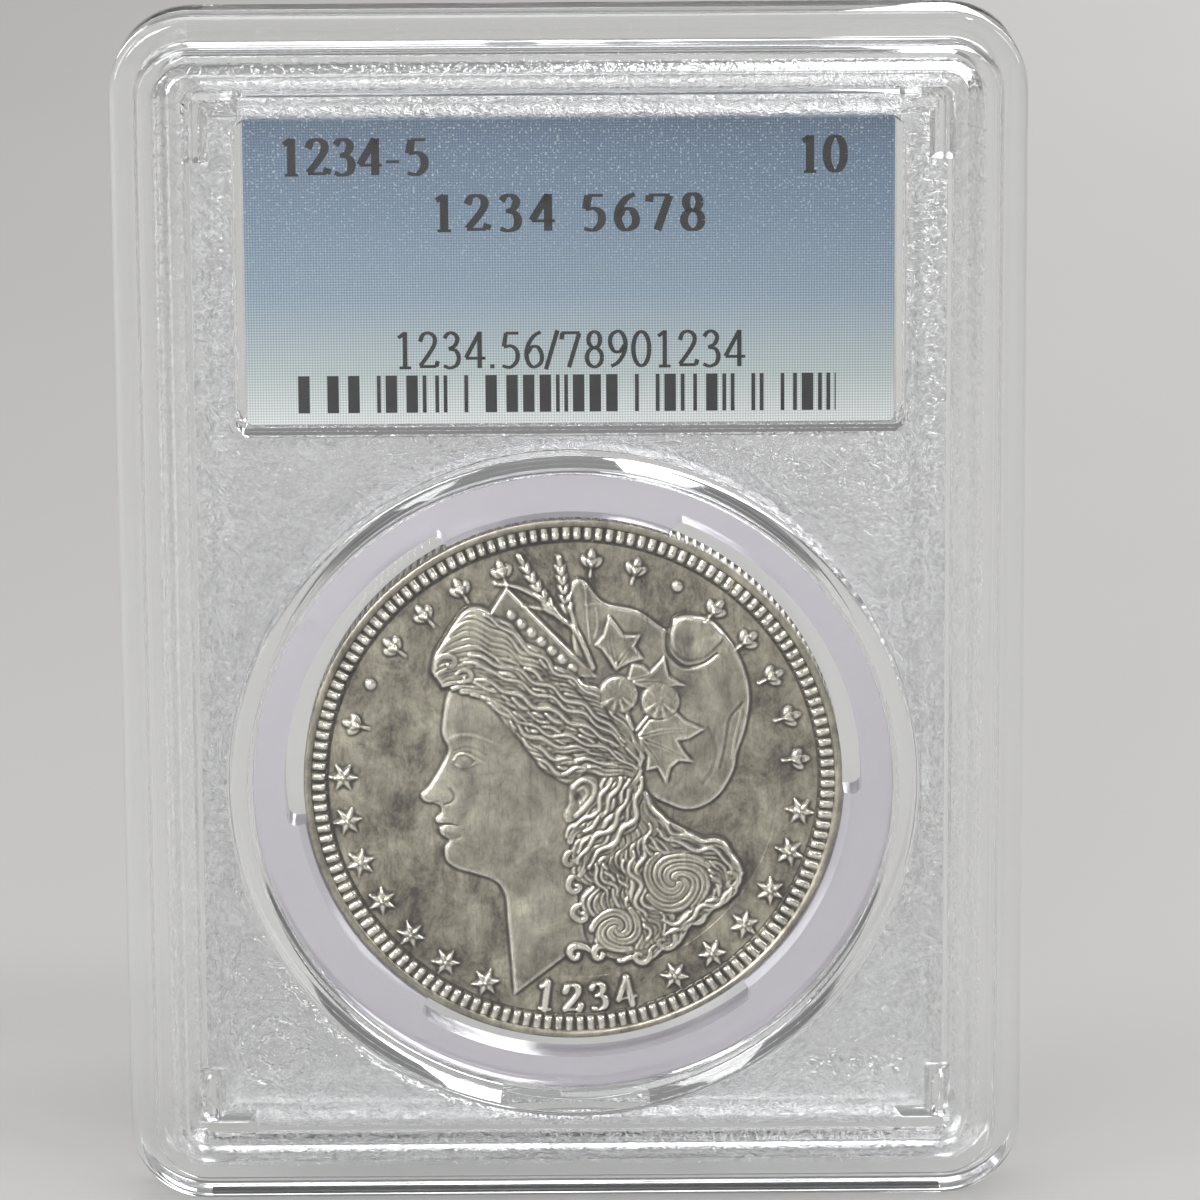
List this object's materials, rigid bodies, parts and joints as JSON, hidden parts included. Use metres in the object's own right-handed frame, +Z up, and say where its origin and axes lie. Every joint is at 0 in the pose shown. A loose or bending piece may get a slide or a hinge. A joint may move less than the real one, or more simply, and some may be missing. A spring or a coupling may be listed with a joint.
{
  "type": "graded coin slab",
  "caption": "Sealed clear two-shell display holder with a large reeded silver coin in a translucent retaining ring, a printed label pack and a contactless tag.",
  "frame": {"origin": "middle of the bottom edge, on the parting plane between the two shells", "axes": "+X to the slab's right seen from its front, +Y towards its back, +Z up from the coin to the label; the front faces -Y"},
  "size_m": [0.0636, 0.008, 0.0857],
  "materials": {
    "clear_plastic": "clear polystyrene, polished windows and rims, fine moulded texture on the field",
    "milky_plastic": "translucent milky white, smooth",
    "toned_silver": "struck silver with grey-brown toning in the field and bright high points",
    "blue_label": "satin card, steel blue fading down to a pale greenish white, with a fine dot screen",
    "rear_label": "satin pale card",
    "clear_film": "clear polyester film",
    "antenna_foil": "etched foil",
    "chip_epoxy": "black encapsulant",
    "hologram_foil": "diffractive foil"
  },
  "bodies": {
    "holder": {"front_shell": "clear_plastic", "back_shell": "clear_plastic", "coin_ring": "milky_plastic", "front_label_card": "blue_label", "rear_label_card": "rear_label", "nfc_carrier_film": "clear_film", "nfc_antenna": "antenna_foil", "nfc_antenna_bridge": "antenna_foil", "nfc_chip": "chip_epoxy", "hologram_patch": "hologram_foil"},
    "coin": {"coin": "toned_silver"}
  },
  "joints": [
    {"name": "coin_turn", "type": "hinge", "parent": "holder", "child": "coin", "pos_m": [0, 0, 0.0307], "axis": [0, 1, 0], "continuous": true}
  ]
}
